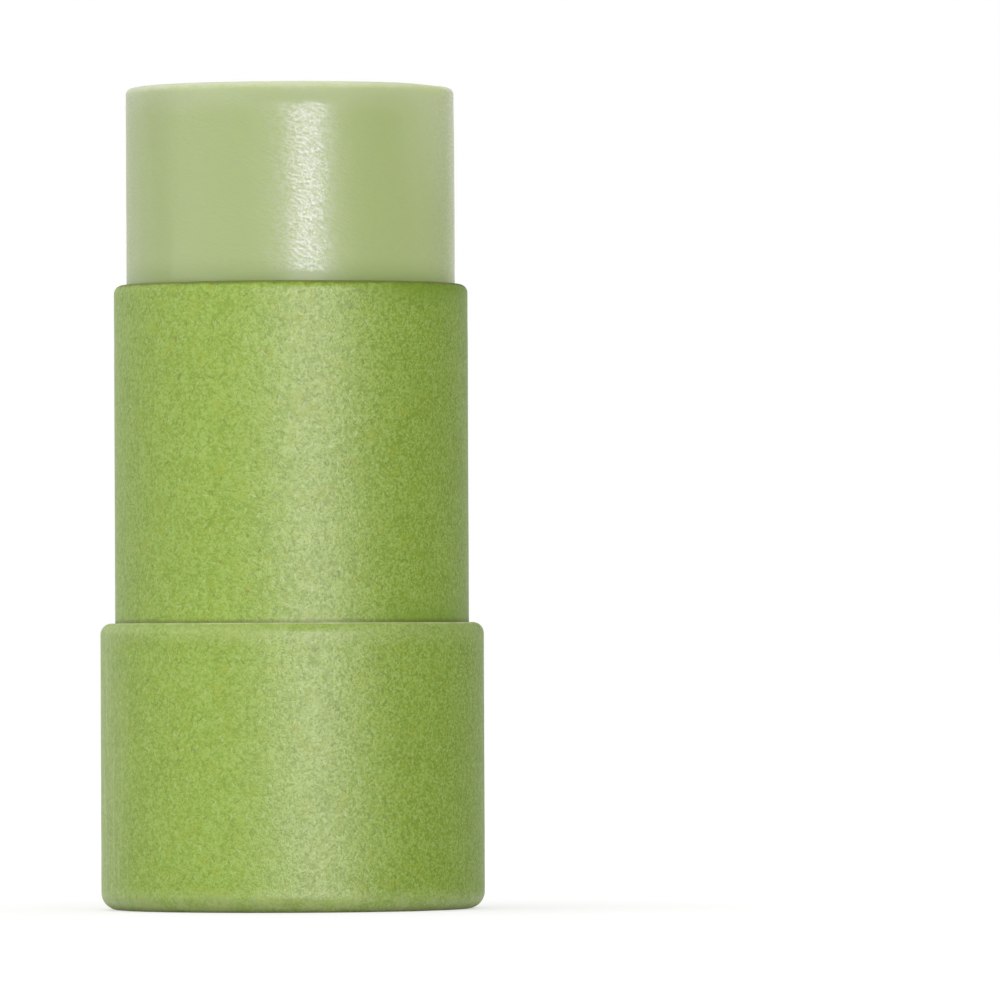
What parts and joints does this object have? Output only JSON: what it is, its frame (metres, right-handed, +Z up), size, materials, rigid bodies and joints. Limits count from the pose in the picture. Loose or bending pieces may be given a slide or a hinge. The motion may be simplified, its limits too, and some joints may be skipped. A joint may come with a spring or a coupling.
{
  "type": "push-up lip balm",
  "caption": "Stick of pale green balm in a green rolled paper tube, pushed up from below by a finger; open at the top, with a bare neck for a push-on lid.",
  "frame": {"origin": "middle of the base, on the surface that the tube stands on", "axes": "+Z up along the tube's axis, the way the balm is pushed out; the tube is round, so X and Y are free"},
  "size_m": [0.022, 0.022, 0.047],
  "materials": {
    "green_paper": "matte, dyed fibre paper with a faint calendered sheen",
    "kraft_board": "matte, undyed kraft board",
    "balm_wax": "satin, slightly translucent wax with fine rub marks"
  },
  "bodies": {
    "tube": {"outer_sleeve": "green_paper", "inner_tube": "green_paper"},
    "stick": {"pusher_ring": "kraft_board", "pusher_disc": "kraft_board", "balm": "balm_wax"}
  },
  "joints": [
    {"name": "push_up", "type": "slide", "parent": "tube", "child": "stick", "axis": [0, 0, 1], "range_m": [-0.0122, 0.0177]}
  ]
}
